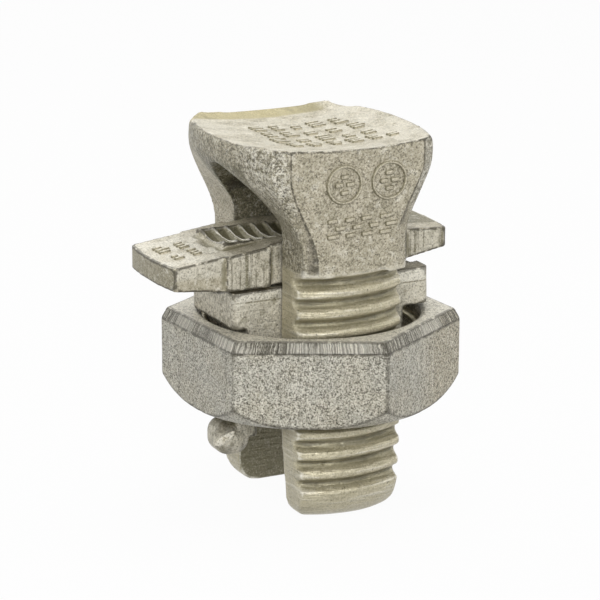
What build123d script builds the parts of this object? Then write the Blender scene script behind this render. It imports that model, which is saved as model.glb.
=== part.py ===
from build123d import *
import math
import os

# Split bolt connector for joining a run conductor and a tap conductor.
# Millimetres. The origin is on the bolt's axis at the plane of the leg tips, +Z is up.
# X runs along the wires, and the two legs stand at -Y (front) and +Y (back).

# --- driving dimensions -----------------------------------------------------------
TOTAL_HEIGHT = 39.9
THREAD_RADIUS = 11.2
THREAD_PITCH = 2.117
THREAD_DEPTH = 1.0
THREAD_TOP = 25.9
SLOT_WIDTH = 10.8
SLOT_APEX = 36.4
HEAD_DEPTH = 22.5
NUT_ACROSS_FLATS = 27.0
NUT_HEIGHT = 9.1
NUT_BOTTOM = 11.0
NUT_ANGLE = -26.5
SLIDE_GAP = 0.15
SEAT_GAP = 0.05

# --- values worked out from them ----------------------------------------------------
SLOT_HALF = SLOT_WIDTH / 2
SLOT_CENTRE = SLOT_APEX - SLOT_HALF
FACE_Y = HEAD_DEPTH / 2
NUT_TOP = NUT_BOTTOM + NUT_HEIGHT
NUT_CORNER_RADIUS = NUT_ACROSS_FLATS / math.sqrt(3)
BORE_RADIUS = THREAD_RADIUS + SLIDE_GAP

# --- bolt: half widths along X, on the flat faces and halfway between them ------------
BLANK_SHIFT = -0.3
NECK_HALF_FACE = 5.9
NECK_HALF_MID = 5.8
HEAD_HALF_FACE = 8.55
HEAD_HALF_MID = 10.9
RIGHT_FLARE = (29.7, 37.7)
LEFT_FACE_FLARE = (27.6, 37.0)
LEFT_MID_FLARE = (30.4, 37.7)
TOP_ROUND_HEIGHT = 1.5
TOP_ROUND_INSET = 1.0
EDGE_BREAK = 0.65
LEDGE_SLOPE = 0.5

# --- bolt: thread and leg tips --------------------------------------------------------
THREAD_ROOT_HALF = 0.2
THREAD_SLOPE = 0.5
THREAD_PHASE = 0.7
FIRST_GROOVE = 2.3
LEG_EDGE_ROUND = 0.8
TIP_ROUND = 4.0
TIP_TAPER_START = 8.8
TIP_TAPER = 0.5
TIP_SIDE_ROUND = 2.1

# --- bolt: the worn dish in the top ---------------------------------------------------
DISH_LOW = 38.4
DISH_RIM = 39.2
DISH_RADIUS = 58.0
LIP_WIDTH = 1.1

# --- nut ------------------------------------------------------------------------------
NUT_BEVEL_HEIGHT = 1.13
NUT_BEVEL_INSET = 0.6
NUT_EDGE_ROUND = 0.5
NUT_CONE = 2.1
BORE_CHAMFER = 0.4

# --- pressure bar: heights are above the underside of its wings -------------------------
BAR_TILT = 1.0
BAR_HALF_LENGTH = 11.2
BAR_HALF_WIDTH = SLOT_HALF - SLIDE_GAP
BAR_THICKNESS = 3.95
BAR_SEAT_DEPTH = 0.85
BAR_STEM_LEFT = -9.8
BAR_STEM_RIGHT = 8.1
BAR_STEM_DEPTH = 3.0
PRONG_INNER = 7.2
PRONG_OUTER = 9.7
PRONG_HALF_WIDTH = 2.1
LOBE_REACH = 11.7
LOBE_SIZE = (3.9, 4.4, 3.8)
LOBE_ROUND = 1.6
LEFT_PRONG_LENGTH = 14.5
RIGHT_PRONG_LENGTH = 10.3

# --- spacer bar -------------------------------------------------------------------------
SPACER_BOTTOM = 24.5
SPACER_CROWN = 29.1
SPACER_LEFT = -18.3
SPACER_RIGHT = 13.4
TONGUE_HALF_WIDTH = 5.5
SHOULDER_HALF_WIDTH = 5.9
SHOULDER_LEFT = -12.3
NOTCH_LEFT = -7.3
NOTCH_RIGHT = 6.8
SHOULDER_RIGHT = 8.1
GROOVE_RADIUS = 6.0
GROOVE_DEPTH = 1.1
TOOTH_PITCH = 1.45
TOOTH_HEIGHT = 0.35


def smoothstep(value, start, end):
    t = min(max((value - start) / (end - start), 0.0), 1.0)
    return t * t * (3 - 2 * t)


def flare_half_width(z, neck, head, flare):
    """Half width along X at height z, growing smoothly from the neck to the head."""
    return neck + (head - neck) * smoothstep(z, *flare)


def side_outline(neck, head, flare):
    """One side of the bolt seen along Y, from the middle of its foot to the middle of its top."""
    round_start = TOTAL_HEIGHT - TOP_ROUND_HEIGHT
    heights = [flare[0] + i * (round_start - flare[0]) / 4 for i in range(5)]
    curve = [(flare_half_width(z, neck, head, flare), z) for z in heights]
    side = curve[-1][0]
    return [
        Line((0, -2), (neck, -2)),
        Line((neck, -2), curve[0]),
        Spline(*curve, tangents=((0, 1), (0, 1))),
        ThreePointArc(
            (side, round_start),
            (side - 0.3 * TOP_ROUND_INSET, TOTAL_HEIGHT - 0.3 * TOP_ROUND_HEIGHT),
            (side - TOP_ROUND_INSET, TOTAL_HEIGHT),
        ),
        Line((side - TOP_ROUND_INSET, TOTAL_HEIGHT), (0, TOTAL_HEIGHT)),
    ]


def bolt_section(neck, head, left_flare):
    """The whole bolt seen along Y."""
    right = side_outline(neck, head, RIGHT_FLARE)
    left = [mirror(edge, Plane.YZ) for edge in side_outline(neck, head, left_flare)]
    return Plane.XZ * make_face(right + left)


def bolt_blank():
    """Legs, neck and flared head in one piece, bowed between its flat front and back.

    The left side flares from lower down on the flat faces than beside the slot, where the
    spacer's shoulders pass it.
    """
    face = bolt_section(NECK_HALF_FACE, HEAD_HALF_FACE, LEFT_FACE_FLARE)
    middle = bolt_section(NECK_HALF_MID, HEAD_HALF_MID, LEFT_MID_FLARE)
    return loft([Pos(0, -FACE_Y, 0) * face, middle, Pos(0, FACE_Y, 0) * face])


def corner_radius(z, flare):
    """Distance from the middle to the broken edge between a flat face and a flared side."""
    half = flare_half_width(z, NECK_HALF_FACE, HEAD_HALF_FACE, flare)
    return math.hypot(half, FACE_Y) - EDGE_BREAK


def half_edge_envelope(flare):
    """Half of a flared round body, on the +X side, that breaks two of the bolt's long edges."""
    heights = [flare[0] + i * (flare[1] - flare[0]) / 4 for i in range(5)]
    curve = [(corner_radius(z, flare), z) for z in heights]
    top = TOTAL_HEIGHT + 1
    profile = make_face(
        [
            Polyline((0, -3), (curve[0][0], -3), curve[0]),
            Spline(*curve, tangents=((0, 1), (0, 1))),
            Polyline(curve[-1], (curve[-1][0], top), (0, top), (0, -3)),
        ]
    )
    return Rot(0, 0, -90) * revolve(Plane.XZ * profile, Axis.Z, 180)


def edge_envelope():
    return half_edge_envelope(RIGHT_FLARE) + Rot(0, 0, 180) * half_edge_envelope(LEFT_FACE_FLARE)


def thread_envelope():
    """Round body that trims the legs to the thread, with a sloping ledge above it."""
    wide = 20.0
    profile = make_face(
        Polyline(
            (0, -3),
            (THREAD_RADIUS, -3),
            (THREAD_RADIUS, THREAD_TOP),
            (wide, THREAD_TOP + LEDGE_SLOPE * (wide - THREAD_RADIUS)),
            (wide, TOTAL_HEIGHT + 1),
            (0, TOTAL_HEIGHT + 1),
            close=True,
        )
    )
    return revolve(Plane.XZ * profile, Axis.Z)


def round_leg_edges(body):
    """Round the four edges where the thread runs out at the flat sides of the legs."""
    edges = []
    for edge in body.edges():
        middle = edge.position_at(0.5)
        radius = math.hypot(middle.X, middle.Y)
        upright = abs(edge.tangent_at(0.5).Z) > 0.95
        if upright and abs(radius - THREAD_RADIUS) < 0.02 and middle.Z < THREAD_TOP:
            edges.append(edge)
    return fillet(edges, LEG_EDGE_ROUND)


def tip_envelope():
    """Round body and tapered sheet that together round off the ends of the legs."""
    turned = make_face(
        [
            Line((0, 0), (THREAD_RADIUS - TIP_ROUND, 0)),
            RadiusArc((THREAD_RADIUS - TIP_ROUND, 0), (THREAD_RADIUS, TIP_ROUND), -TIP_ROUND),
            Polyline(
                (THREAD_RADIUS, TIP_ROUND),
                (20, TIP_ROUND + 3),
                (20, TOTAL_HEIGHT + 1),
                (0, TOTAL_HEIGHT + 1),
                (0, 0),
            ),
        ]
    )
    neck = NECK_HALF_MID + 0.05
    tip = neck - TIP_TAPER
    right = [
        Line((0, 0), (tip - TIP_SIDE_ROUND, 0)),
        RadiusArc((tip - TIP_SIDE_ROUND, 0), (tip, TIP_SIDE_ROUND), -TIP_SIDE_ROUND),
        Line((tip, TIP_SIDE_ROUND), (neck, TIP_TAPER_START)),
        Polyline((neck, TIP_TAPER_START), (20, TIP_TAPER_START + 4), (20, TOTAL_HEIGHT + 1)),
        Line((20, TOTAL_HEIGHT + 1), (0, TOTAL_HEIGHT + 1)),
    ]
    left = [mirror(edge, Plane.YZ) for edge in right]
    sheet = extrude(Plane.XZ * make_face(right + left), 20, both=True)
    return revolve(Plane.XZ * turned, Axis.Z) & Pos(BLANK_SHIFT, 0, 0) * sheet


def wire_slot():
    """The slot that the wires lie in, open between the legs and round at the top."""
    outline = Pos(0, SLOT_CENTRE) * Circle(SLOT_HALF)
    outline += Pos(0, SLOT_CENTRE / 2 - 1) * Rectangle(SLOT_WIDTH, SLOT_CENTRE + 2)
    return extrude(Plane.YZ * outline, 20, both=True)


def dish():
    """Cutter for the top: a shallow dish with a steep lip along the back edge."""
    back = FACE_Y - 0.25
    high = DISH_LOW + 20
    profile = make_face(
        [
            Line((-16, DISH_RIM + 0.35), (-FACE_Y, DISH_RIM)),
            Spline(
                (-FACE_Y, DISH_RIM),
                (-FACE_Y * 0.45, DISH_LOW + 0.12),
                (back - LIP_WIDTH - 1.2, DISH_LOW),
                (back - LIP_WIDTH * 0.7, DISH_LOW + 0.15),
                (back, DISH_RIM - 0.1),
            ),
            Line((back, DISH_RIM - 0.1), (16, DISH_RIM + 1.0)),
            Polyline((16, DISH_RIM + 1.0), (16, high), (-16, high)),
            Line((-16, high), (-16, DISH_RIM + 0.35)),
        ]
    )
    axis = Axis((0, 0, DISH_LOW + DISH_RADIUS), (0, 1, 0))
    half = 35
    section = (Plane.YZ * profile).rotate(axis, -half)
    return revolve(section, axis, 2 * half)


def thread_section():
    """The groove between two turns of thread, pointing at the axis, with room outside."""
    root = THREAD_RADIUS - THREAD_DEPTH
    outside = THREAD_RADIUS + 0.4
    mouth = THREAD_ROOT_HALF + THREAD_SLOPE * (outside - root)
    return make_face(
        Polyline(
            (root, -THREAD_ROOT_HALF),
            (outside, -mouth),
            (outside, mouth),
            (root, THREAD_ROOT_HALF),
            close=True,
        )
    )


def thread_grooves():
    """The thread's grooves. A leg spans so little of each turn that a tilted arc is the helix."""
    lead_angle = math.degrees(math.atan(THREAD_PITCH / (2 * math.pi * THREAD_RADIUS)))
    reach = 40
    arc = revolve(Plane.XZ * thread_section(), Axis.Z, 2 * reach)
    arc = Rot(lead_angle, 0, 0) * Rot(0, 0, -reach) * arc
    grooves = []
    for turn, side in ((-0.25, -90), (0.25, 90)):
        z = THREAD_PHASE + turn * THREAD_PITCH
        while z < THREAD_TOP:
            if z > FIRST_GROOVE:
                grooves.append(Pos(0, 0, z) * Rot(0, 0, side) * arc)
            z += THREAD_PITCH
    return grooves


def bolt_body():
    body = Pos(BLANK_SHIFT, 0, 0) * (bolt_blank() & edge_envelope())
    body &= thread_envelope()
    body = round_leg_edges(body)
    body &= tip_envelope()
    body -= wire_slot()
    body -= dish()
    body -= thread_grooves()
    return body


def hex_nut():
    plan = RegularPolygon(NUT_CORNER_RADIUS, 6)
    plan = fillet(plan.vertices(), NUT_EDGE_ROUND)
    bevel_angle = math.degrees(math.atan(NUT_BEVEL_INSET / NUT_BEVEL_HEIGHT))
    low = extrude(plan, NUT_HEIGHT - NUT_BEVEL_HEIGHT)
    bevel = extrude(Pos(0, 0, NUT_HEIGHT - NUT_BEVEL_HEIGHT) * plan, NUT_BEVEL_HEIGHT, taper=bevel_angle)
    turned = make_face(
        Polyline(
            (BORE_RADIUS + BORE_CHAMFER, 0),
            (NUT_CORNER_RADIUS - NUT_CONE, 0),
        )
        + ThreePointArc(
            (NUT_CORNER_RADIUS - NUT_CONE, 0),
            (NUT_CORNER_RADIUS - NUT_CONE * 0.44, NUT_CONE * 0.44),
            (NUT_CORNER_RADIUS, NUT_CONE),
        )
        + Polyline(
            (NUT_CORNER_RADIUS, NUT_CONE),
            (NUT_CORNER_RADIUS, NUT_HEIGHT),
            (BORE_RADIUS + BORE_CHAMFER, NUT_HEIGHT),
            (BORE_RADIUS, NUT_HEIGHT - BORE_CHAMFER),
            (BORE_RADIUS, BORE_CHAMFER),
            (BORE_RADIUS + BORE_CHAMFER, 0),
        )
    )
    nut = (low + bevel) & revolve(Plane.XZ * turned, Axis.Z)
    return Pos(0, 0, NUT_BOTTOM) * Rot(0, 0, NUT_ANGLE) * nut


def serrated_groove(left, right):
    """Cutter for a wire seat along X, with ridges across it. Its lowest line is at z = 0."""
    points = [(left, 0)]
    count = int((right - left) / TOOTH_PITCH)
    for i in range(count):
        x = left + i * TOOTH_PITCH
        points.append((x, GROOVE_RADIUS))
        points.append((x + TOOTH_PITCH * 0.55, GROOVE_RADIUS))
        points.append((x + TOOTH_PITCH * 0.78, GROOVE_RADIUS - TOOTH_HEIGHT))
        points.append((x + TOOTH_PITCH * 0.86, GROOVE_RADIUS - TOOTH_HEIGHT))
    points.append((left + count * TOOTH_PITCH, GROOVE_RADIUS))
    points.append((left + count * TOOTH_PITCH, 0))
    profile = make_face(Polyline(*points, close=True))
    return Pos(0, 0, GROOVE_RADIUS) * revolve(Plane.XZ * profile, Axis.X)


def spacer_plan():
    """The spacer seen from above: round-ended tongues, shoulders and the leg notches."""
    corner = 0.4
    left = Pos((SPACER_LEFT - SHOULDER_LEFT) / 2 + SHOULDER_LEFT, 0)
    tongue_left = left * Rectangle(SHOULDER_LEFT - SPACER_LEFT + 2, 2 * TONGUE_HALF_WIDTH)
    end_radius = 32.0
    tongue_left &= Pos(SPACER_LEFT + end_radius, 0) * Circle(end_radius)
    tongue_right = Pos((SPACER_RIGHT + SHOULDER_RIGHT) / 2, 0) * Rectangle(
        SPACER_RIGHT - SHOULDER_RIGHT + 2, 2 * TONGUE_HALF_WIDTH
    )
    tongue_right &= Pos(SPACER_RIGHT - end_radius, 0) * Circle(end_radius)
    left_ends = [v for v in tongue_left.vertices() if v.X < SHOULDER_LEFT - 3]
    tongue_left = fillet(left_ends, corner)
    right_ends = [v for v in tongue_right.vertices() if v.X > SHOULDER_RIGHT + 2]
    tongue_right = fillet(right_ends, corner)
    shoulder_left = Pos((SHOULDER_LEFT + NOTCH_LEFT) / 2, 0) * Rectangle(
        NOTCH_LEFT - SHOULDER_LEFT, 2 * SHOULDER_HALF_WIDTH
    )
    shoulder_right = Pos((SHOULDER_RIGHT + NOTCH_RIGHT) / 2, 0) * Rectangle(
        SHOULDER_RIGHT - NOTCH_RIGHT, 2 * SHOULDER_HALF_WIDTH
    )
    waist = Rectangle(SHOULDER_RIGHT - SHOULDER_LEFT - 1, 2 * (SLOT_HALF - SLIDE_GAP))
    waist = Pos((SHOULDER_RIGHT + SHOULDER_LEFT) / 2, 0) * waist
    return tongue_left + shoulder_left + waist + shoulder_right + tongue_right


def spacer_side():
    """The spacer seen along Y: one tongue thins from above and the other from below."""
    return make_face(
        Polyline(
            (SPACER_LEFT - 1, SPACER_BOTTOM + 0.7),
            (SHOULDER_LEFT, SPACER_BOTTOM),
            (2.0, SPACER_BOTTOM),
            (SPACER_RIGHT + 1, SPACER_BOTTOM + 2.2),
            (SPACER_RIGHT + 1, SPACER_CROWN - 0.7),
            (4.0, SPACER_CROWN),
            (-5.0, SPACER_CROWN - 0.05),
            (SPACER_LEFT - 1, SPACER_BOTTOM + 2.85),
            close=True,
        )
    )


def spacer_bar():
    height = SPACER_CROWN - SPACER_BOTTOM + 2
    bar = extrude(Pos(0, 0, SPACER_BOTTOM - 1) * spacer_plan(), height)
    bar &= extrude(Plane.XZ * spacer_side(), 2 * SHOULDER_HALF_WIDTH, both=True)
    bar -= Pos(0, 0, SPACER_CROWN - GROOVE_DEPTH) * serrated_groove(SHOULDER_LEFT, SHOULDER_RIGHT + 2)
    flipped = Rot(180, 0, 0) * serrated_groove(SHOULDER_LEFT, SHOULDER_RIGHT)
    bar -= Pos(0, 0, SPACER_BOTTOM + GROOVE_DEPTH) * flipped
    return bar


def prong(length):
    """A prong that reaches down through the nut's bore, on the right of the bar."""
    width = PRONG_OUTER - PRONG_INNER
    centre = (PRONG_INNER + PRONG_OUTER) / 2
    shank = Pos(centre, 0, -length / 2) * Box(width, 2 * PRONG_HALF_WIDTH, length)
    return fillet(shank.edges().filter_by(Axis.Z), 0.5)


def lobe():
    """The spread end that keeps the left prong from leaving the nut."""
    centre = (LOBE_SIZE[0] / 2 - LOBE_REACH, 0, LOBE_SIZE[2] / 2 - LEFT_PRONG_LENGTH)
    block = Box(*LOBE_SIZE)
    return Pos(*centre) * fillet(block.edges(), LOBE_ROUND)


def pressure_bar():
    plan = Rectangle(2 * BAR_HALF_LENGTH, 2 * BAR_HALF_WIDTH)
    plan = fillet(plan.vertices(), 0.8)
    bar = extrude(plan, BAR_THICKNESS)
    stem = Rectangle(BAR_STEM_RIGHT - BAR_STEM_LEFT, 2 * BAR_HALF_WIDTH)
    middle = (BAR_STEM_RIGHT + BAR_STEM_LEFT) / 2
    bar += extrude(Pos(middle, 0, -BAR_STEM_DEPTH) * stem, BAR_STEM_DEPTH + 1)
    bar += prong(RIGHT_PRONG_LENGTH)
    bar += mirror(prong(LEFT_PRONG_LENGTH - LOBE_SIZE[2] / 2), Plane.YZ)
    bar += lobe()
    reach = BAR_HALF_LENGTH + 0.5
    bar -= Pos(0, 0, BAR_THICKNESS - BAR_SEAT_DEPTH) * serrated_groove(-reach, reach)
    rise = BAR_HALF_LENGTH * math.sin(math.radians(BAR_TILT))
    return Pos(0, 0, NUT_TOP + SEAT_GAP + rise) * Rot(0, -BAR_TILT, 0) * bar


PARTS = {
    "split_bolt": bolt_body,
    "hex_nut": hex_nut,
    "pressure_bar": pressure_bar,
    "spacer_bar": spacer_bar,
}

if __name__ == "__main__":
    os.makedirs("parts", exist_ok=True)
    for name, build in PARTS.items():
        shape = build()
        export_step(shape, f"parts/{name}.step")
        print(name, round(shape.volume, 1), len(shape.solids()), shape.is_valid)
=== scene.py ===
import math
import random

import bmesh
import bpy
import numpy as np
from bpy.props import FloatProperty, FloatVectorProperty, IntProperty, PointerProperty
from bpy.types import Operator, Panel, PropertyGroup
from mathutils import Matrix, Vector, noise
from mathutils.bvhtree import BVHTree


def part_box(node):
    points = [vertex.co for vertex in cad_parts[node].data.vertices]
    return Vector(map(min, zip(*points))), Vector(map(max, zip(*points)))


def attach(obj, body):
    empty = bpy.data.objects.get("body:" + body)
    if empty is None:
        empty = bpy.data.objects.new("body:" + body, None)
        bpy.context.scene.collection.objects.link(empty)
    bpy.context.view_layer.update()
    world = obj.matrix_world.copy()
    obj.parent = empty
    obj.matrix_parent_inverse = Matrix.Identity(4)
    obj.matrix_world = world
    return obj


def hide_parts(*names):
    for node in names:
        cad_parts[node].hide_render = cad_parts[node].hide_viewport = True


bl_info = {
    "name": "Split bolt connector",
    "version": (1, 0, 0),
    "blender": (4, 5, 0),
    "location": "View3D > Sidebar > Split Bolt",
    "description": "Builds the forged, tin-plated pieces of a split bolt connector around its frame",
    "category": "Object",
}

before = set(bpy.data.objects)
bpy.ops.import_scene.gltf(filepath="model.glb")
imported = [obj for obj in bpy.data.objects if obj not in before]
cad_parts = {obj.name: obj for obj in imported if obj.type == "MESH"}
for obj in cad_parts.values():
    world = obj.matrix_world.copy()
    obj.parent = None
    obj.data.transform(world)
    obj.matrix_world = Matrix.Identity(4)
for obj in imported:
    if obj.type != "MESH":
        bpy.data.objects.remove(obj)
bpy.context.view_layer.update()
MM = 0.001
BOLT_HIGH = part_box("split_bolt")[1]
NUT_LOW, NUT_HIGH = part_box("hex_nut")
BAR_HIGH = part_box("pressure_bar")[1]
SPACER_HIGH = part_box("spacer_bar")[1]

# Directions in the frame. The bolt's slot runs from left to right.
LEFT = (-1, 0, 0)
RIGHT = (1, 0, 0)
FRONT = (0, -1, 0)
BACK = (0, 1, 0)
UP = (0, 0, 1)
DOWN = (0, 0, -1)

# Places on the pieces at rest, in millimetres.
THREAD_TOP = 26.6  # the legs' thread ends here, under the head's flat faces
INSIDE_TOP = 37.1  # just above the roof of the slot
LIP_FOOT = 37.4  # the lip behind the head's dish lies above this
LIP_FRONT = 7.6  # and further back than this
NUT_TOP = NUT_HIGH.z / MM
WING_SEAM = BAR_HIGH.z / MM - 1.45  # a line along the pressure bar's front flank
TONGUE_ROOT = -12.4  # the spacer's left tongue lies left of this
TONGUE_MIDDLE = 26.2  # height of the middle of the tongue's flanks
SEAT_RIM = 28.8  # the spacer's upper wire seat lies below this
SEAT_FLOOR = SPACER_HIGH.z / MM - 1.1  # the lowest line of that seat


# --- sizes and colours that a user may change ---------------------------------------


def length(name, description, default):
    return FloatProperty(
        name=name, description=description, default=default, min=0, subtype="DISTANCE", unit="LENGTH"
    )


def colour(name, description, default):
    return FloatVectorProperty(
        name=name, description=description, default=default, size=3, min=0, max=1, subtype="COLOR"
    )


class ForgingSettings(PropertyGroup):
    bolt_grain: length("Bolt grain", "Size of the faces that the bolt is remeshed to", 0.215 * MM)
    nut_grain: length("Nut grain", "Size of the faces that the nut is remeshed to", 0.16 * MM)
    bar_grain: length("Bar grain", "Size of the faces that the two bars are remeshed to", 0.13 * MM)
    unevenness: length("Unevenness", "How far the forged surfaces stray from true", 0.06 * MM)
    edge_passes: IntProperty(
        name="Edge passes", description="Rounds of smoothing that soften the edges", default=5, min=0
    )


class PlatingSettings(PropertyGroup):
    tin: colour("Tin", "Plating on the open faces", (0.49, 0.445, 0.335))
    # pale tin is also the colour of the painted highlights on lit faces, crests and ridges
    pale_tin_and_highlight: colour("Pale tin", "Plating where it is rubbed bright", (0.79, 0.76, 0.66))
    # dull tin is also the colour of the painted shade in hollows, in the slot and on the shaded sides
    dull_tin_and_shade: colour("Dull tin", "Plating in hollows and on the rolled sides", (0.185, 0.168, 0.10))
    thread_tin: colour("Thread tin", "Olive plating on the thread", (0.50, 0.455, 0.315))
    lip_tin: colour("Lip tin", "Yellow plating on the lip behind the head's dish", (0.40, 0.35, 0.19))
    nut_tin: colour("Nut tin", "Grey plating on the nut's flats", (0.49, 0.475, 0.405))
    # the speck colour is also the painted shade in the thread's deepest grooves
    speck_and_shade: colour("Speck", "Dark specks and lines in the plating", (0.060, 0.053, 0.035))


class ThreadSettings(PropertyGroup):
    pitch: length("Pitch", "Rise of the thread in one turn", 2.117 * MM)
    ridge: length("Ridge height", "How far the nut's thread stands in from its bore", 0.55 * MM)
    bore: length("Bore radius", "Radius of the nut's bore", 11.35 * MM)


class MarkSettings(PropertyGroup):
    relief: length("Relief", "How far the plain raised marks stand out", 0.22 * MM)
    line: length("Line", "Width of the lines that the marks are made of", 0.52 * MM)
    ring: length("Ring", "Radius of the two plain rings on the front", 1.85 * MM)


class StageSettings(PropertyGroup):
    camera_distance: length("Camera distance", "From the middle of the nut's top to the camera", 311.4 * MM)
    focal_length: FloatProperty(
        name="Focal length", description="Camera lens", default=180.0, min=1, subtype="DISTANCE_CAMERA"
    )
    azimuth: FloatProperty(
        name="Azimuth",
        description="Turn of the camera about the bolt",
        default=math.radians(-26.5),
        subtype="ANGLE",
        unit="ROTATION",
    )
    elevation: FloatProperty(
        name="Elevation",
        description="Height of the camera over the horizon",
        default=math.radians(15.7),
        subtype="ANGLE",
        unit="ROTATION",
    )
    roll: FloatProperty(
        name="Roll",
        description="Tilt of the camera",
        default=math.radians(0.2),
        subtype="ANGLE",
        unit="ROTATION",
    )
    floor: colour("Floor", "Colour of the floor", (0.60, 0.60, 0.60))


# --- shader maths --------------------------------------------------------------------

CREASE = "crease"  # attribute that holds how far each vertex stands out


class Field:
    """A value that varies over a surface, so that shader maths reads as a sum."""

    def __init__(self, finish, socket):
        self.finish = finish
        self.socket = socket

    def __add__(self, other):
        return self.finish.math("ADD", self, other)

    def __sub__(self, other):
        return self.finish.math("SUBTRACT", self, other)

    def __rsub__(self, other):
        return self.finish.math("SUBTRACT", other, self)

    def __mul__(self, other):
        return self.finish.math("MULTIPLY", self, other)

    def __pow__(self, other):
        return self.finish.math("POWER", self, other)

    __radd__ = __add__
    __rmul__ = __mul__

    def beside(self, out):
        """Another output of the node that this value comes from."""
        return Field(self.finish, self.socket.node.outputs[out])


class Finish:
    """A material whose nodes are made by short calls. Lengths in it are millimetres."""

    def __init__(self, name):
        self.material = bpy.data.materials.new(name)
        self.material.use_nodes = True
        self.tree = self.material.node_tree
        self.tree.nodes.clear()
        self.shader = self.tree.nodes.new("ShaderNodeBsdfPrincipled")
        output = self.tree.nodes.new("ShaderNodeOutputMaterial")
        self.tree.links.new(self.shader.outputs["BSDF"], output.inputs["Surface"])
        metres = self.node("ShaderNodeTexCoord", {}, {}, "Object")
        self.place = self.node(
            "ShaderNodeVectorMath", {"operation": "SCALE"}, {0: metres, "Scale": 1 / MM}, "Vector"
        )
        self.x = self.node("ShaderNodeSeparateXYZ", {}, {0: self.place}, "X")
        self.y = self.x.beside("Y")
        self.z = self.x.beside("Z")

    def feed(self, socket, value):
        if isinstance(value, Field):
            self.tree.links.new(value.socket, socket)
        else:
            socket.default_value = value

    def set(self, name, value):
        self.feed(self.shader.inputs[name], value)

    def node(self, kind, settings, values, out):
        made = self.tree.nodes.new(kind)
        for name, value in settings.items():
            setattr(made, name, value)
        for name, value in values.items():
            self.feed(made.inputs[name], value)
        return Field(self, made.outputs[out])

    def math(self, operation, *values):
        return self.node("ShaderNodeMath", {"operation": operation}, dict(enumerate(values)), 0)

    def most(self, first, second):
        return self.math("MAXIMUM", first, second)

    def ease(self, value, low, high):
        """0 below low, 1 above high, and smooth between; low may be above high."""
        return self.node(
            "ShaderNodeMapRange",
            {"interpolation_type": "SMOOTHSTEP"},
            {"Value": value, "From Min": low, "From Max": high},
            "Result",
        )

    def cloud(self, scale, detail=2.0, stretch=None, rough=0.5):
        """Noise with about scale patches to a millimetre, times stretch along each axis."""
        where = self.place
        if stretch:
            where = self.node(
                "ShaderNodeVectorMath", {"operation": "MULTIPLY"}, {0: self.place, 1: stretch}, "Vector"
            )
        values = {"Vector": where, "Scale": scale, "Detail": detail, "Roughness": rough}
        return self.node("ShaderNodeTexNoise", {}, values, 0)

    def broad(self, scale):
        """Patches a few millimetres across, from 0 to 1."""
        return self.ease(self.cloud(scale, 3.0), 0.35, 0.65)

    def blend(self, amount, first, second):
        """The first colour where amount is 0 and the second where it is 1."""
        factor, first_colour, second_colour, colour_out = 0, 6, 7, 2
        values = {factor: amount}
        for socket, value in ((first_colour, first), (second_colour, second)):
            values[socket] = value if isinstance(value, Field) else (*value, 1)
        return self.node("ShaderNodeMix", {"data_type": "RGBA"}, values, colour_out)

    def spots(self, scale, size, share):
        """Ragged spots in a share of cells, of which a millimetre holds about scale."""
        cells = self.node("ShaderNodeTexVoronoi", {}, {"Vector": self.place, "Scale": scale}, "Distance")
        chance = self.node("ShaderNodeSeparateColor", {}, {0: cells.beside("Color")}, "Red")
        ragged = cells + 0.8 * self.cloud(scale * 1.7, 3.0, rough=0.7) - 0.4
        return self.ease(ragged, size, size - 0.16) * self.ease(chance, 1 - share, 1.1 - share)

    def crease(self):
        """Millimetres by which the surface stands out of its surroundings, below 0 in hollows."""
        return self.node("ShaderNodeAttribute", {"attribute_name": CREASE}, {}, "Fac")

    def facing(self, way):
        """How far the surface faces a way, from -1 to 1."""
        normal = self.node("ShaderNodeNewGeometry", {}, {}, "Normal")
        return self.node("ShaderNodeVectorMath", {"operation": "DOT_PRODUCT"}, {0: normal, 1: way}, "Value")

    def faces(self, way, low, high):
        """0 where the surface faces a way less than low, 1 where more than high."""
        return self.ease(self.facing(way), low, high)

    def relief(self, height, depth, under=None):
        """Bump from a height of 0 to 1, depth millimetres deep."""
        values = {"Height": height, "Distance": depth * MM, "Strength": 1.0}
        if under:
            values["Normal"] = under
        return self.node("ShaderNodeBump", {}, values, "Normal")


# --- meshes --------------------------------------------------------------------------

CREASE_REACH = 0.58  # millimetres around a place that count as its surroundings
WELD = 0.0005 * MM
BROAD_SWELL, FINE_SWELL = 0.22, 0.7  # swellings of a forging's surface to a millimetre
MEAN_SWELL = 0.6


def new_piece(name, mesh, body, finish):
    piece = bpy.data.objects.new(name, mesh)
    bpy.context.scene.collection.objects.link(piece)
    mesh.materials.clear()
    mesh.materials.append(finish)
    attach(piece, body)
    return piece


def mesh_from(work, name, smooth=True):
    mesh = bpy.data.meshes.new(name)
    work.to_mesh(mesh)
    work.free()
    if smooth:
        mesh.shade_smooth()
    else:
        mesh.shade_flat()
    return mesh


def baked(mesh, modifiers):
    """The mesh with a list of (kind, settings) modifiers run on it."""
    holder = bpy.data.objects.new("holder", mesh)
    bpy.context.scene.collection.objects.link(holder)
    for kind, settings in modifiers:
        modifier = holder.modifiers.new(kind.title(), kind)
        for name, value in settings.items():
            setattr(modifier, name, value)
    result = bpy.data.meshes.new_from_object(holder.evaluated_get(bpy.context.evaluated_depsgraph_get()))
    bpy.data.objects.remove(holder)
    return result


def vertex_vectors(mesh, name):
    """The places ("co") or normals ("normal") of a mesh's vertices, one row each."""
    values = np.empty(3 * len(mesh.vertices))
    mesh.vertices.foreach_get(name, values)
    return values.reshape(-1, 3)


def averaging(mesh):
    """A function that turns each vertex's row of three values into the mean of its neighbours'."""
    count = len(mesh.vertices)
    ends = np.empty(2 * len(mesh.edges), dtype=np.int64)
    mesh.edges.foreach_get("vertices", ends)
    ends = ends.reshape(-1, 2)
    near = np.concatenate([ends[:, 0], ends[:, 1]])
    far = np.concatenate([ends[:, 1], ends[:, 0]])
    neighbours = np.bincount(near, minlength=count)

    def mean(values):
        sums = [np.bincount(near, weights=values[far, axis], minlength=count) for axis in range(3)]
        return np.stack(sums, axis=1) / neighbours[:, None]

    return mean


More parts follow.
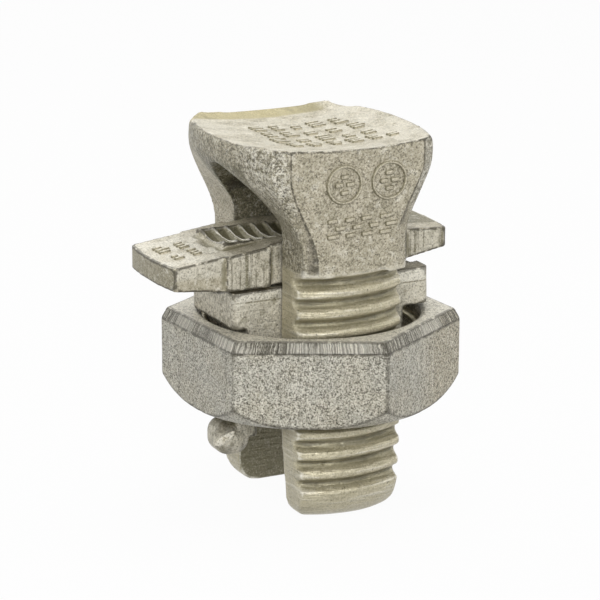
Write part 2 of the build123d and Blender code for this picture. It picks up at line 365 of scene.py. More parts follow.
def mark_creases(mesh, grain):
    """Store on each vertex how far it stands out of the same mesh smoothed, in millimetres."""
    mean = averaging(mesh)
    places = vertex_vectors(mesh, "co")
    soft = places
    for _ in range(round((CREASE_REACH / grain) ** 2)):
        soft = mean(soft)
    stand = ((places - soft) * vertex_vectors(mesh, "normal")).sum(axis=1)
    attribute = mesh.attributes.new(CREASE, "FLOAT", "POINT")
    attribute.data.foreach_set("value", stand)


def even_lip(mesh):
    """Even out the rim of the lip behind the head's dish."""
    rounds = 16
    fade_up, fade_back = 0.6, 0.8
    mean = averaging(mesh)
    places = vertex_vectors(mesh, "co")
    high = np.clip((places[:, 2] - LIP_FOOT) / fade_up, 0, 1)
    far_back = np.clip((places[:, 1] - LIP_FRONT) / fade_back, 0, 1)
    share = (high * far_back)[:, None]
    for _ in range(rounds):
        places += share * (mean(places) - places)
    mesh.vertices.foreach_set("co", places.ravel())
    mesh.update()


def sharpen_teeth(mesh):
    """Cut the ridges across the spacer's upper wire seat narrow and sharp."""
    radius, half_width = 6.0, 3.3
    left, right = -11.6, 9.5
    first_crest, pitch = -11.11, 1.45
    height, half_tooth, fade = 0.46, 0.24, 0.6
    room_under, room_over = 0.1, 0.5
    for vertex in mesh.vertices:
        x, y, z = vertex.co
        if z < SEAT_FLOOR - room_under or abs(y) > half_width or not left < x < right:
            continue
        seat = SEAT_FLOOR + radius - math.sqrt(radius * radius - y * y)
        if z > seat + room_over:
            continue
        phase = ((x - first_crest) / pitch + 0.5) % 1.0
        tooth = max(0.0, 1.0 - abs(phase - 0.5) / half_tooth)
        vertex.co.z = seat + height * tooth * min(1.0, (half_width - abs(y)) / fade)


def forged_mesh(node, grain, passes, unevenness, shape=None):
    """A copy of a CAD node with soft edges and the slight unevenness of a forging."""
    work = bmesh.new()
    work.from_mesh(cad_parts[node].data)
    bmesh.ops.remove_doubles(work, verts=work.verts, dist=WELD)
    bmesh.ops.scale(work, verts=work.verts, vec=(1 / MM, 1 / MM, 1 / MM))
    mesh = mesh_from(work, node + "_soft")
    mesh = baked(
        mesh,
        [
            ("REMESH", {"mode": "VOXEL", "voxel_size": grain / MM}),
            ("SMOOTH", {"factor": 0.5, "iterations": passes}),
        ],
    )
    normals = [vertex.normal.copy() for vertex in mesh.vertices]
    for vertex, normal in zip(mesh.vertices, normals):
        swell = noise.noise(vertex.co * BROAD_SWELL) + 0.5 * noise.noise(vertex.co * FINE_SWELL)
        vertex.co -= normal * (unevenness / MM) * (MEAN_SWELL + MEAN_SWELL * swell)
    if shape:
        shape(mesh)
    mark_creases(mesh, grain / MM)
    mesh.transform(Matrix.Scale(MM, 4))
    mesh.shade_smooth()
    return mesh


# --- finishes ------------------------------------------------------------------------


class PlatedFinish(Finish):
    """Tin plating, painted coat over coat in the plating's colours."""

    def __init__(self, name, plating, coat, metallic=0.4):
        super().__init__(name)
        self.plating = plating
        self.coat = coat
        self.set("Metallic", metallic)

    def paint(self, amount, tint):
        self.coat = self.blend(amount, self.coat, tint)

    def gritty(self, dark, pale, scale=5.4):
        """Grainy plating: dark and pale flecks that touch and run together."""
        grit = self.cloud(scale, 4.0, rough=0.75)
        self.paint(self.ease(grit, 0.50, 0.38) * dark, self.plating.speck_and_shade)
        self.paint(self.ease(grit, 0.53, 0.66) * pale, self.plating.pale_tin_and_highlight)

    def mottled(self, dark, pale):
        """Soft dull and pale patches a millimetre or so across."""
        mottle = self.cloud(1.1, 5.0, rough=0.65)
        self.paint(self.ease(mottle, 0.48, 0.34) * dark, self.plating.dull_tin_and_shade)
        self.paint(self.ease(mottle, 0.54, 0.66) * pale, self.plating.pale_tin_and_highlight)

    def pitted(self, share):
        """Separate dark pits, fine ones all over and larger ones here and there."""
        self.paint(self.spots(3.6, 0.32, share) * 0.7, self.plating.speck_and_shade)
        self.paint(self.spots(1.6, 0.24, share * 0.4) * 0.6, self.plating.speck_and_shade)

    def lined(self, low, high, amount):
        """Dark broken lines along the edges that stand out, and painted shade in the hollows."""
        crease = self.crease()
        worn = self.ease(self.cloud(1.6, 3.0), 0.30, 0.50)
        # painted shade in the hollows
        self.paint(self.ease(crease, -0.02, -0.09) * 0.8, self.plating.dull_tin_and_shade)
        self.paint(self.ease(crease, low, high) * worn * amount, self.plating.speck_and_shade)

    def made(self, roughness, normal=None):
        """The material, once its coats are all painted."""
        self.set("Base Color", self.coat)
        self.set("Roughness", roughness)
        if normal:
            self.set("Normal", normal)
        return self.material


def bolt_finish(plating):
    finish = PlatedFinish("tin_forged_bolt", plating, plating.tin)
    x, y, z = finish.x, finish.y, finish.z
    crease = finish.crease()
    finish.paint(finish.broad(0.30) * 0.25, plating.dull_tin_and_shade)

    # The head's rolled flanks get painted shade and coarse grain, with a painted highlight high at their
    # front; its front and back faces are paler.
    thread = finish.ease(z, THREAD_TOP + 0.3, THREAD_TOP - 0.3)
    flat_face = finish.facing(BACK) ** 2
    back_leg = finish.ease(y, 3.5, 5.5) * finish.ease(z, 37.0, 35.0)
    up = finish.faces(UP, 0.60, 0.85)
    flank = finish.ease(flat_face, 0.85, 0.60) * (1 - thread) * (1 - 0.85 * back_leg) * (1 - up)
    coarse = finish.ease(finish.cloud(2.4, 3.0, rough=0.7), 0.40, 0.60)
    # painted shade on the rolled flanks, less on the back leg
    finish.paint(flank * (0.25 + 0.45 * coarse), plating.dull_tin_and_shade)
    shoulder = finish.ease(z, 31.5, 35.5) * finish.ease(y, -3.5, -7.5)
    # painted highlight high at the front of the flanks
    finish.paint(shoulder * flank * (1 - coarse) * 0.75, plating.pale_tin_and_highlight)

    # The thread is olive, with streaks drawn round the legs.
    finish.paint(thread * 0.95, plating.thread_tin)
    streak = finish.cloud(1.0, 4.0, stretch=(0.16, 0.16, 2.6), rough=0.65)
    finish.paint(thread * finish.ease(streak, 0.46, 0.32) * 0.45, plating.dull_tin_and_shade)
    finish.paint(thread * finish.ease(streak, 0.52, 0.66) * 0.45, plating.pale_tin_and_highlight)

    # The slot's walls and roof get painted shade.
    inside = finish.ease(y ** 2, 33, 30.5) * finish.ease(z, INSIDE_TOP + 0.3, INSIDE_TOP - 0.3)
    finish.paint(inside * 0.95, plating.dull_tin_and_shade)
    finish.mottled(0.50 - 0.35 * thread, 0.40 - 0.30 * thread)
    finish.gritty(0.74 - 0.39 * thread, 0.52 - 0.17 * thread)
    finish.gritty(0.85 * flank, 0.42 * flank, 3.2)
    finish.pitted(0.18)

    # Dark lines run along the edges, except low on the right.
    worn = 0.25 + 0.75 * finish.ease(finish.cloud(2.0, 4.0, rough=0.65), 0.42, 0.56)
    # painted shade in the hollows
    finish.paint(finish.ease(crease, -0.05, -0.16) * 0.55, plating.dull_tin_and_shade)
    low_right = finish.ease(x, 2, 4) * finish.ease(z, 31.5, 30.5)
    face_edge = finish.ease(flat_face, 0.975, 0.93) * finish.ease(flat_face, 0.74, 0.84) * (1 - low_right)
    outline = finish.most(finish.ease(crease, 0.05, 0.10) * worn, face_edge * (0.4 + 0.6 * worn))
    finish.paint(outline * (1 - thread) * 0.88, plating.speck_and_shade)

    # The thread's grooves get painted shade, and its crests and the ledge above it get painted highlights
    # in patches.
    crest_glint_patches = finish.ease(finish.cloud(0.8, 4.0, rough=0.7), 0.36, 0.56)
    # painted shade in the grooves, darkest in the deepest
    finish.paint(thread * finish.ease(crease, 0.02, -0.05) * 0.55, plating.dull_tin_and_shade)
    finish.paint(thread * finish.ease(crease, -0.07, -0.11) * 0.5, plating.speck_and_shade)
    # painted highlights on the crests and on the ledge
    finish.paint(finish.ease(crease, 0.095, 0.125) * thread * crest_glint_patches * 0.9, plating.pale_tin_and_highlight)
    ledge = finish.ease(z, THREAD_TOP - 0.7, THREAD_TOP - 0.4)
    ledge = ledge * finish.ease(z, THREAD_TOP + 0.7, THREAD_TOP + 0.4) * finish.ease(crease, 0.02, 0.06)
    finish.paint(ledge * (0.05 + 0.35 * crest_glint_patches), plating.pale_tin_and_highlight)

    # The dished top gets a painted highlight in patches, and the lip behind it is yellow, stained on the
    # right.
    top = finish.faces(UP, 0.75, 0.93) * finish.ease(z, 36, 37.5)
    patch = finish.ease(finish.cloud(0.45, 4.0, rough=0.6), 0.62, 0.42)
    # painted highlight in patches on the upward-facing top
    finish.paint(top * (0.02 + 0.34 * patch), plating.pale_tin_and_highlight)
    lip = finish.ease(y, 8.9, 9.6) * finish.ease(z, LIP_FOOT + 0.1, LIP_FOOT + 0.9)
    lip = lip * finish.ease(x, 7.0, 5.0)
    finish.paint(lip * 0.85, plating.lip_tin)
    stain = finish.most(finish.ease(x, 1.5, 5.5), finish.ease(finish.cloud(0.5, 4.0), 0.52, 0.66))
    finish.paint(lip * stain * 0.45, plating.dull_tin_and_shade)

    grain = finish.relief(finish.cloud(3.2, 4.0, rough=0.65) * (1 - 0.7 * thread), 0.18)
    grain = finish.relief(streak * thread, 0.20, grain)
    grain = finish.relief(finish.cloud(0.9, 2.0), 0.15, grain)
    return finish.made(0.46 - 0.12 * thread + 0.16 * finish.cloud(0.8, 3.0) - 0.08, grain)


def nut_finish(plating):
    finish = PlatedFinish("tin_nut", plating, plating.nut_tin)
    x, y, z = finish.x, finish.y, finish.z

    # The flats are grey, warmer in broad patches and on the right.
    finish.paint(finish.most(finish.broad(0.25) * 0.45, finish.ease(x, 5, 10)), plating.tin)
    up = finish.faces(UP, 0.6, 0.9)
    # the top face is olive, with a painted highlight over it
    finish.paint(up * 0.8, plating.thread_tin)
    finish.paint(up * 0.85, plating.pale_tin_and_highlight)
    drawn = finish.ease(finish.cloud(1.0, 3.0, stretch=(1.6, 1.6, 0.05)), 0.56, 0.66)
    drawn = drawn * finish.ease(finish.cloud(0.16, 1.0), 0.48, 0.56)
    finish.paint(drawn * 0.30, plating.pale_tin_and_highlight)
    finish.mottled(0.30, 0.35)
    finish.gritty(0.95 - 0.35 * up, 0.45, 4.4)
    finish.gritty(0.90 - 0.50 * up, 0.55, 7.5)
    finish.pitted(0.4)

    # The turned band round the top has upright strokes, rubbed pale here and there.
    angle = finish.math("ARCTAN2", y, x)
    strokes = finish.node(
        "ShaderNodeTexNoise",
        {"noise_dimensions": "1D"},
        {"W": angle * 66.0 + 1.8 * finish.cloud(1.4), "Scale": 1.0, "Detail": 4.0, "Roughness": 0.80},
        0,
    )
    band = finish.ease(z, NUT_TOP - 1.2, NUT_TOP - 1.1) * (1 - up)
    rubbed = finish.ease(finish.cloud(0.22, 2.0), 0.42, 0.56)
    finish.paint(band * (0.1 + 0.6 * rubbed), plating.pale_tin_and_highlight)
    finish.paint(band * finish.ease(strokes, 0.56, 0.46) * (0.9 - 0.3 * rubbed), plating.speck_and_shade)
    finish.paint(band * finish.ease(strokes, 0.60, 0.68) * 0.8, plating.pale_tin_and_highlight)
    finish.lined(0.035, 0.10, 0.72)

    # A broken dark line runs under the band.
    under_band = finish.ease(z, NUT_TOP - 1.45, NUT_TOP - 1.25)
    under_band = under_band * finish.ease(z, NUT_TOP - 1.0, NUT_TOP - 1.15)
    broken = finish.ease(finish.cloud(1.1, 4.0, rough=0.7), 0.38, 0.56)
    finish.paint(under_band * broken * 0.75, plating.speck_and_shade)

    grain = finish.relief(finish.cloud(3.4, 4.0, rough=0.65), 0.16)
    grain = finish.relief(strokes * band, 0.25, grain)
    return finish.made(0.44 + 0.12 * finish.cloud(1.0, 3.0) - 0.06, grain)


def bar_finish(plating):
    finish = PlatedFinish("tin_pressure_bar", plating, plating.tin)
    z = finish.z
    finish.paint(finish.broad(0.35) * 0.3, plating.dull_tin_and_shade)

    # The front flank gets a painted highlight, stronger above the seam, and the left end a weaker painted
    # highlight.
    flank = finish.faces(FRONT, 0.6, 0.9)
    above = finish.ease(z, WING_SEAM - 0.1, WING_SEAM + 0.3)
    finish.paint(flank * (0.50 + 0.40 * above), plating.pale_tin_and_highlight)
    end = finish.faces(LEFT, 0.5, 0.9)
    finish.paint(end * 0.35, plating.pale_tin_and_highlight)
    seam = finish.ease(z, WING_SEAM - 0.16, WING_SEAM - 0.06) * finish.ease(z, WING_SEAM + 0.1, WING_SEAM)
    finish.paint(seam * flank * 0.7, plating.dull_tin_and_shade)
    finish.mottled(0.55, 0.50)
    finish.gritty(0.55, 0.40)
    finish.gritty(0.50 * end, 0.60 * end, 2.4)
    finish.pitted(0.15)
    finish.lined(0.04, 0.09, 0.75)
    grain = finish.relief(finish.cloud(2.6, 4.0, rough=0.6), 0.14)
    return finish.made(0.38 + 0.14 * finish.cloud(1.0, 3.0), grain)


def spacer_finish(plating):
    finish = PlatedFinish("tin_spacer_bar", plating, plating.tin)
    x, y, z = finish.x, finish.y, finish.z
    finish.paint(finish.broad(0.3) * 0.3, plating.dull_tin_and_shade)

    # The left tongue gets a painted highlight on top, in rubbed patches, and high on its flanks, and its
    # end gets painted shade.
    up = finish.faces(UP, 0.5, 0.8)
    rubbed = finish.ease(finish.cloud(0.5, 4.0, rough=0.6), 0.38, 0.56)
    finish.paint(up * finish.ease(x, -10.5, -12.5) * (0.3 + 0.4 * rubbed), plating.pale_tin_and_highlight)
    tongue = finish.ease(x, TONGUE_ROOT + 0.1, TONGUE_ROOT - 0.1)
    flank = finish.ease(finish.facing(BACK) ** 2, 0.6, 0.9)
    high = finish.ease(z, TONGUE_MIDDLE - 0.3, TONGUE_MIDDLE + 0.3)
    finish.paint(flank * tongue * high * 0.45, plating.pale_tin_and_highlight)
    end = finish.faces(LEFT, 0.6, 0.85)
    finish.paint(end * 0.5, plating.dull_tin_and_shade)

    # The wire seat gets painted shade between its ridges, which get painted highlights.
    seat = finish.ease(z, SEAT_RIM + 0.2, SEAT_RIM - 0.2) * finish.ease(y ** 2, 10, 8.5)
    seat = seat * finish.ease(x, -11.3, -10.8) * finish.faces(UP, 0.2, 0.4)
    finish.paint(seat * 0.97, plating.dull_tin_and_shade)

    # The shoulders' flanks carry upright drawn lines.
    drawn = finish.ease(finish.cloud(1.0, 4.0, stretch=(2.6, 2.6, 0.06), rough=0.7), 0.50, 0.60)
    shoulder = flank * (1 - tongue)
    # painted highlight on the shoulders' front and back faces
    finish.paint(shoulder * 0.35, plating.pale_tin_and_highlight)
    finish.paint(drawn * shoulder * 0.85, plating.dull_tin_and_shade)
    finish.mottled(0.50, 0.50)
    finish.gritty(0.55, 0.40)
    finish.pitted(0.15)
    finish.lined(0.04, 0.09, 0.85)
    # painted highlights along the seat's ridges
    finish.paint(finish.ease(finish.crease(), 0.04, 0.11) * seat * 0.9, plating.pale_tin_and_highlight)

    grain = finish.relief(finish.cloud(2.8, 4.0, rough=0.6), 0.10)
    grain = finish.relief(drawn * shoulder, 0.06, grain)
    return finish.made(0.38 + 0.16 * finish.cloud(0.9, 3.0), grain)


def marks_finish(plating):
    """A painted highlight on upper faces and painted shade on the sides, so that each mark has an outline.
    """
    finish = PlatedFinish("tin_marks", plating, plating.tin)
    up = finish.facing(UP)
    finish.paint(finish.ease(up, 0.80, 0.96) * 0.35, plating.pale_tin_and_highlight)
    flat = finish.most(up, finish.facing(FRONT))
    finish.paint(finish.ease(flat, 0.97, 0.80) * 0.9, plating.dull_tin_and_shade)
    finish.gritty(0.60, 0.30)
    grain = finish.relief(finish.cloud(3.2, 4.0, rough=0.65), 0.10)
    return finish.made(0.42 + 0.12 * finish.cloud(0.8, 3.0), grain)


def rubbed_finish(plating):
    finish = PlatedFinish("tin_rubbed", plating, plating.tin)
    finish.paint(finish.ease(finish.cloud(1.2, 3.0), 0.62, 0.42) * 0.7, plating.pale_tin_and_highlight)
    finish.gritty(0.60, 0.4)
    return finish.made(0.34 + 0.12 * finish.cloud(0.8, 3.0))


def nut_thread_finish(plating):
    finish = PlatedFinish("tin_nut_thread", plating, plating.thread_tin, metallic=0.9)
    finish.paint(finish.ease(finish.cloud(0.8, 3.0), 0.4, 0.6), plating.dull_tin_and_shade)
    return finish.made(0.34 + 0.1 * finish.cloud(1.2, 2.0))


# --- forged pieces -------------------------------------------------------------------


class SPLITBOLT_OT_bolt(Operator):
    """Forged bolt with two threaded legs and a flared head"""

    bl_idname = "splitbolt.bolt"
    bl_label = "Forged bolt"

    def execute(self, context):
        forging = context.scene.split_bolt_forging
        passes = forging.edge_passes
        mesh = forged_mesh("split_bolt", forging.bolt_grain, passes, forging.unevenness, shape=even_lip)
        finish = bolt_finish(context.scene.split_bolt_plating)
        piece = new_piece("forged_bolt", mesh, "bolt", finish)
        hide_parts("split_bolt")
        return {"FINISHED"}


class SPLITBOLT_OT_nut(Operator):
    """Hexagonal nut"""

    bl_idname = "splitbolt.nut"
    bl_label = "Hexagonal nut"

    def execute(self, context):
        forging = context.scene.split_bolt_forging
        mesh = forged_mesh("hex_nut", forging.nut_grain, forging.edge_passes - 2, forging.unevenness * 0.5)
        finish = nut_finish(context.scene.split_bolt_plating)
        piece = new_piece("wrench_nut", mesh, "nut", finish)
        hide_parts("hex_nut")
        return {"FINISHED"}


class SPLITBOLT_OT_bars(Operator):
    """Pressure bar and spacer bar"""

    bl_idname = "splitbolt.bars"
    bl_label = "Pressure bar and spacer bar"

    def execute(self, context):
        forging = context.scene.split_bolt_forging
        plating = context.scene.split_bolt_plating
        for node, body, name, finish, shape in (
            ("pressure_bar", "pressure", "forged_pressure_bar", bar_finish(plating), None),
            ("spacer_bar", "spacer", "forged_spacer_bar", spacer_finish(plating), sharpen_teeth),
        ):
            mesh = forged_mesh(node, forging.bar_grain, forging.edge_passes - 1, forging.unevenness, shape)
            piece = new_piece(name, mesh, body, finish)
            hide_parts(node)
        return {"FINISHED"}


# --- the nut's thread ----------------------------------------------------------------

STEPS_A_TURN = 72
PLAIN_BELOW = 2.9 * MM  # the nut's bore has no thread below this
PLAIN_ABOVE = 0.95 * MM  # nor this near to the nut's top
THREAD_ROOT = 0.06 * MM  # how far the thread reaches into the nut's metal
HALF_ROOT = 0.45 * MM  # half the width of the thread's foot
HALF_CREST = 0.12 * MM  # and of its crest


def closed_outline(work, points):
    """Vertices and edges of a closed outline, to be spun."""
    corners = [work.verts.new(point) for point in points]
    count = len(corners)
    return corners + [work.edges.new((corners[i], corners[(i + 1) % count])) for i in range(count)]


class SPLITBOLT_OT_nut_thread(Operator):
    """Thread inside the nut, which runs in the grooves of the bolt's legs"""

    bl_idname = "splitbolt.nut_thread"
    bl_label = "Thread of the nut"

    def execute(self, context):
        thread = context.scene.split_bolt_thread
        work = bmesh.new()
        outer = thread.bore + THREAD_ROOT
        inner = thread.bore - thread.ridge
        start = NUT_LOW.z + PLAIN_BELOW
        ridge = closed_outline(
            work,
            (
                (outer, 0, start - HALF_ROOT),
                (inner, 0, start - HALF_CREST),
                (inner, 0, start + HALF_CREST),
                (outer, 0, start + HALF_ROOT),
            ),
        )
        steps = int((NUT_HIGH.z - start - PLAIN_ABOVE) / thread.pitch * STEPS_A_TURN)
        bmesh.ops.spin(
            work,
            geom=ridge,
            cent=(0, 0, 0),
            axis=UP,
            dvec=(0, 0, thread.pitch / STEPS_A_TURN),
            angle=math.radians(360 / STEPS_A_TURN * steps),
            steps=steps,
        )
        bmesh.ops.remove_doubles(work, verts=work.verts, dist=2 * WELD)
        bmesh.ops.holes_fill(work, edges=[edge for edge in work.edges if edge.is_boundary])
        bmesh.ops.recalc_face_normals(work, faces=work.faces)
        mesh = mesh_from(work, "nut_thread")
        finish = nut_thread_finish(context.scene.split_bolt_plating)
        new_piece("nut_thread", mesh, "nut", finish)
        return {"FINISHED"}


# --- plain marks and the fold on the lobe ---------------------------------------------
# Places are millimetres in the frame. A mark is dropped along a line onto its piece.

IN_FRONT = -20
OVERHEAD = 60
RING_MIDDLES = (-1.9, 3.1)
RING_HEIGHT = 35.7
RING_DASHES = ((0.0, 0.8), (-0.62, 0.0), (0.62, 0.0), (0.0, -0.8))
RING_DASH_REACH = 0.95
ROWS_HEIGHT = 31.3
ROWS = ((0.8, -3.2), (0.0, -2.4), (-0.8, -3.2))
DASHES_A_ROW = 4
DASH_STEP = 1.95
FACE_SLANT = (1, 0, 0.06)
TOP_SLANT = (1, 0.1, 0)
LINE_STEP = 0.78
FOLDS = (((-18.8, -18.0, 7.9), 2.9), ((-18.6, -18.0, 7.75), 2.4))
TO_LOBE = (0.446, 0.895, 0)
FOLD_SLANT = (0.7, -0.35, 0.6)


def raised_ring(radius, marks):
    """A plain ring that stands on the plane Z = 0 around the origin."""
    ring = bmesh.new()
    half = marks.line / 2
    crest = half * 0.4
    high = marks.relief
    section = closed_outline(
        ring,
        (
            (radius - half, 0, -high),
            (radius - crest, 0, high),
            (radius + crest, 0, high),
            (radius + half, 0, -high),
        ),
    )
    bmesh.ops.spin(ring, geom=section, cent=(0, 0, 0), axis=UP, angle=2 * math.pi, steps=36, use_merge=True)
    bmesh.ops.recalc_face_normals(ring, faces=ring.faces)
    return ring


def raised_dash(reach, marks):
    """A plain round-edged dash along X that stands on the plane Z = 0."""
    dash = bmesh.new()
    bmesh.ops.create_cube(dash, size=1)
    bmesh.ops.scale(dash, verts=dash.verts, vec=(reach, marks.line, 2 * marks.relief))
    bmesh.ops.bevel(
        dash,
        geom=dash.edges,
        offset=marks.relief * 0.7,
        segments=2,
        profile=0.5,
        material=-1,
        affect="EDGES",
    )
    return dash


def pinched_fold(reach, marks):
    """A fold of metal along X, thick in its middle and thin at its ends."""
    fold = bmesh.new()
    bmesh.ops.create_icosphere(fold, subdivisions=3, radius=0.5)
    bmesh.ops.scale(fold, verts=fold.verts, vec=(reach, 1.3 * marks.line, 3.2 * marks.relief))
    return fold


def stamp(work, mark, tree, start, toward, along):
    """Add a mark where a line from start strikes the surface, lying flat on it."""
    place, normal, _, _ = tree.ray_cast(Vector(start) * MM, Vector(toward))
    if place is None:
        raise RuntimeError("the line of a mark misses its piece")
    across = normal.cross(Vector(along)).normalized()
    turn = Matrix((across.cross(normal), across, normal)).transposed().to_4x4()
    mark.transform(Matrix.Translation(place) @ turn)
    made = bpy.data.meshes.new("mark")
    mark.to_mesh(made)
    mark.free()
    work.from_mesh(made)
    bpy.data.meshes.remove(made)


class SPLITBOLT_OT_marks(Operator):
    """Plain raised rings and rows of dashes in the places of the markings, and the lobe's fold"""

    bl_idname = "splitbolt.marks"
    bl_label = "Raised marks"

    def execute(self, context):
        self.marks = context.scene.split_bolt_marks
        self.dice = random.Random(4)
        plating = context.scene.split_bolt_plating
        finish = marks_finish(plating)
        bolt = self.surface("forged_bolt")
        face = bmesh.new()
        self.rings(face, bolt)
        self.face_rows(face, bolt)
        self.top_rows(face, bolt, rows=(-6.0, -3.0, 0.0, 3.0), start=-5.5, end=6.0)
        new_piece("bolt_marks", mesh_from(face, "bolt_marks"), "bolt", finish)
        tongue = bmesh.new()
        spacer = self.surface("forged_spacer_bar")
        self.top_rows(tongue, spacer, rows=(-2.6, 0.4), start=-17.0, end=-13.2)
        new_piece("spacer_marks", mesh_from(tongue, "spacer_marks"), "spacer", finish)
        ridge = bmesh.new()
        bar = self.surface("forged_pressure_bar")
        for start, reach in FOLDS:
            stamp(ridge, pinched_fold(reach * MM, self.marks), bar, start, TO_LOBE, FOLD_SLANT)
        rubbed = rubbed_finish(plating)
        new_piece("pinched_ridge", mesh_from(ridge, "pinched_ridge"), "pressure", rubbed)
        return {"FINISHED"}

    def surface(self, name):
        return BVHTree.FromObject(bpy.data.objects[name], bpy.context.evaluated_depsgraph_get())

    def face_dash(self, work, tree, x, z, reach):
        stamp(work, raised_dash(reach * MM, self.marks), tree, (x, IN_FRONT, z), BACK, FACE_SLANT)

    def rings(self, work, tree):
        """Two rings side by side on the front face, each with four staggered dashes in it."""
        for x in RING_MIDDLES:
            ring = raised_ring(self.marks.ring, self.marks)
            stamp(work, ring, tree, (x, IN_FRONT, RING_HEIGHT), BACK, RIGHT)
            for right, up in RING_DASHES:
                self.face_dash(work, tree, x + right, RING_HEIGHT + up, RING_DASH_REACH)

    def face_rows(self, work, tree):
        """Staggered rows of dashes on the front face, under the rings."""
        for up, start in ROWS:
            for index in range(DASHES_A_ROW):
                x = start + DASH_STEP * index + self.dice.uniform(-0.1, 0.1)
                reach = self.dice.uniform(1.1, 1.45)
                self.face_dash(work, tree, x, ROWS_HEIGHT + up, reach)

    def top_rows(self, work, tree, rows, start, end):
        """Rows of cells on an upper face, each with two or three raised dashes side by side."""
        for y in rows:
            x = start + self.dice.uniform(0, 0.6)
            while x < end:
                wide = self.dice.uniform(1.2, 1.9)
                for line in range(self.dice.choice((2, 3))):
                    reach = wide * self.dice.uniform(0.6, 1.0)
                    place = (x + reach / 2, y + LINE_STEP * line + self.dice.uniform(-0.08, 0.08), OVERHEAD)
                    stamp(work, raised_dash(reach * MM, self.marks), tree, place, DOWN, TOP_SLANT)
                x += wide + self.dice.uniform(0.6, 0.9)


# --- stage ---------------------------------------------------------------------------

FLOOR_REACH = 1.2
FLOOR_GAP = 0.05 * MM  # the floor lies this far under the leg tips
FLOOR_WHITE = 0.96  # share of white that the camera sees on the floor
SOFT_LIGHT = (1.0, 0.99, 0.97, 1)
SOFT_STRENGTH = 0.25
WHITE = (1, 1, 1, 1)
SENSOR_WIDTH = 36
VIEW_SHIFT = (-0.0178, 0.0113)
LAMPS = (  # name, direction from the bolt's middle, distance, size and power
    ("top_softbox", (0.15, 0.10, 1.0), 0.32, 0.20, 0.63),
    ("front_softbox", (-0.40, -1.0, 0.60), 0.42, 0.18, 0.93),
    ("left_softbox", (-1.0, -0.1, 0.35), 0.42, 0.18, 0.28),
    ("right_softbox", (1.0, -0.45, 0.35), 0.42, 0.18, 0.26),
    ("back_softbox", (-0.2, 1.0, 0.55), 0.45, 0.20, 0.45),
)


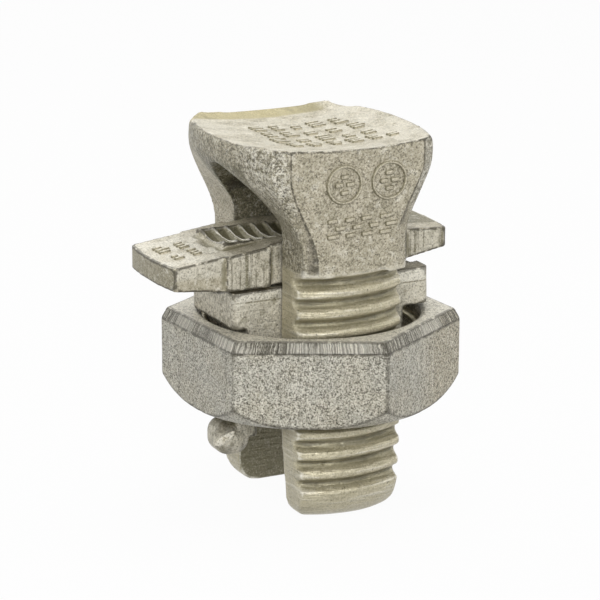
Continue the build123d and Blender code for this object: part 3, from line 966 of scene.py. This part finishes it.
class SPLITBOLT_OT_stage(Operator):
    """Floor, world, lamps and camera"""

    bl_idname = "splitbolt.stage"
    bl_label = "Stage"

    def execute(self, context):
        settings = context.scene.split_bolt_stage
        self.make_floor(settings)
        self.make_world(context.scene)
        self.make_lamps()
        self.make_camera(context.scene, settings)
        context.scene.view_settings.view_transform = "Standard"
        return {"FINISHED"}

    def make_floor(self, settings):
        work = bmesh.new()
        bmesh.ops.create_grid(work, x_segments=1, y_segments=1, size=FLOOR_REACH)
        bmesh.ops.translate(work, verts=work.verts, vec=(0, 0, -FLOOR_GAP))
        mesh = mesh_from(work, "floor", smooth=False)
        material = bpy.data.materials.new("floor_pale")
        material.use_nodes = True
        tree = material.node_tree
        tree.nodes.clear()
        matte = tree.nodes.new("ShaderNodeBsdfDiffuse")
        matte.inputs["Color"].default_value = (*settings.floor, 1)
        share = tree.nodes.new("ShaderNodeMath")
        share.operation = "MULTIPLY"
        share.inputs[1].default_value = FLOOR_WHITE
        tree.links.new(self.seen_rays(tree), share.inputs[0])
        white = self.glow(tree, "ShaderNodeEmission", WHITE, 1.0)
        self.mix(tree, share.outputs[0], matte, white, "ShaderNodeOutputMaterial")
        floor = bpy.data.objects.new("floor", mesh)
        mesh.materials.append(material)
        bpy.context.scene.collection.objects.link(floor)

    def make_world(self, scene):
        world = bpy.data.worlds.new("studio")
        world.use_nodes = True
        tree = world.node_tree
        tree.nodes.clear()
        soft = self.glow(tree, "ShaderNodeBackground", SOFT_LIGHT, SOFT_STRENGTH)
        white = self.glow(tree, "ShaderNodeBackground", WHITE, 1.0)
        self.mix(tree, self.seen_rays(tree), soft, white, "ShaderNodeOutputWorld")
        scene.world = world

    def glow(self, tree, kind, tint, strength):
        made = tree.nodes.new(kind)
        made.inputs["Color"].default_value = tint
        made.inputs["Strength"].default_value = strength
        return made

    def seen_rays(self, tree):
        """1 for rays that show the background: from the camera, off metal or through glass."""
        path = tree.nodes.new("ShaderNodeLightPath")
        seen = path.outputs["Is Camera Ray"]
        for kind in ("Is Glossy Ray", "Is Transmission Ray"):
            either = tree.nodes.new("ShaderNodeMath")
            either.operation = "MAXIMUM"
            tree.links.new(seen, either.inputs[0])
            tree.links.new(path.outputs[kind], either.inputs[1])
            seen = either.outputs[0]
        return seen

    def mix(self, tree, amount, first, second, output_kind):
        """Show the first shader where amount is 0 and the second where it is 1."""
        mix = tree.nodes.new("ShaderNodeMixShader")
        output = tree.nodes.new(output_kind)
        tree.links.new(amount, mix.inputs["Fac"])
        tree.links.new(first.outputs[0], mix.inputs[1])
        tree.links.new(second.outputs[0], mix.inputs[2])
        tree.links.new(mix.outputs[0], output.inputs["Surface"])

    def make_lamps(self):
        middle = Vector((0, 0, 0.5 * BOLT_HIGH.z))
        for name, direction, distance, size, power in LAMPS:
            lamp = bpy.data.lights.new(name, "AREA")
            lamp.shape = "SQUARE"
            lamp.size = size
            lamp.energy = power
            holder = bpy.data.objects.new(name, lamp)
            away = Vector(direction).normalized()
            turn = away.to_track_quat("Z", "Y").to_matrix().to_4x4()
            holder.matrix_world = Matrix.Translation(middle + away * distance) @ turn
            bpy.context.scene.collection.objects.link(holder)

    def make_camera(self, scene, settings):
        lens = bpy.data.cameras.new("camera")
        lens.lens = settings.focal_length
        lens.sensor_width = SENSOR_WIDTH
        lens.shift_x, lens.shift_y = VIEW_SHIFT
        lens.clip_start = 0.01
        camera = bpy.data.objects.new("camera", lens)
        turn = (
            Matrix.Rotation(settings.azimuth, 4, "Z")
            @ Matrix.Rotation(math.pi / 2 - settings.elevation, 4, "X")
            @ Matrix.Rotation(settings.roll, 4, "Z")
        )
        target = Matrix.Translation((0, 0, NUT_HIGH.z))
        camera.matrix_world = target @ turn @ Matrix.Translation((0, 0, settings.camera_distance))
        scene.collection.objects.link(camera)
        scene.camera = camera


# --- panel and registration ----------------------------------------------------------


class SPLITBOLT_PT_panel(Panel):
    """Sizes, colours and pieces of the connector"""

    bl_idname = "SPLITBOLT_PT_panel"
    bl_label = "Split Bolt"
    bl_space_type = "VIEW_3D"
    bl_region_type = "UI"
    bl_category = "Split Bolt"

    def draw(self, context):
        for group in SETTINGS:
            settings = getattr(context.scene, group)
            box = self.layout.box()
            for name in settings.bl_rna.properties.keys():
                if name not in ("rna_type", "name"):
                    box.prop(settings, name)
        for operator in OPERATORS:
            self.layout.operator(operator.bl_idname)


SETTINGS = {
    "split_bolt_forging": ForgingSettings,
    "split_bolt_plating": PlatingSettings,
    "split_bolt_thread": ThreadSettings,
    "split_bolt_marks": MarkSettings,
    "split_bolt_stage": StageSettings,
}
OPERATORS = (
    SPLITBOLT_OT_stage,
    SPLITBOLT_OT_bolt,
    SPLITBOLT_OT_nut,
    SPLITBOLT_OT_nut_thread,
    SPLITBOLT_OT_bars,
    SPLITBOLT_OT_marks,
)


def register():
    for group in SETTINGS.values():
        bpy.utils.register_class(group)
    for name, group in SETTINGS.items():
        setattr(bpy.types.Scene, name, PointerProperty(type=group))
    for operator in OPERATORS:
        bpy.utils.register_class(operator)
    bpy.utils.register_class(SPLITBOLT_PT_panel)


def unregister():
    bpy.utils.unregister_class(SPLITBOLT_PT_panel)
    for operator in reversed(OPERATORS):
        bpy.utils.unregister_class(operator)
    for name in SETTINGS:
        delattr(bpy.types.Scene, name)
    for group in reversed(SETTINGS.values()):
        bpy.utils.unregister_class(group)


def main():
    register()
    bpy.ops.splitbolt.stage()
    bpy.ops.splitbolt.bolt()
    bpy.ops.splitbolt.nut()
    bpy.ops.splitbolt.nut_thread()
    bpy.ops.splitbolt.bars()
    bpy.ops.splitbolt.marks()


if __name__ == "__main__":
    main()
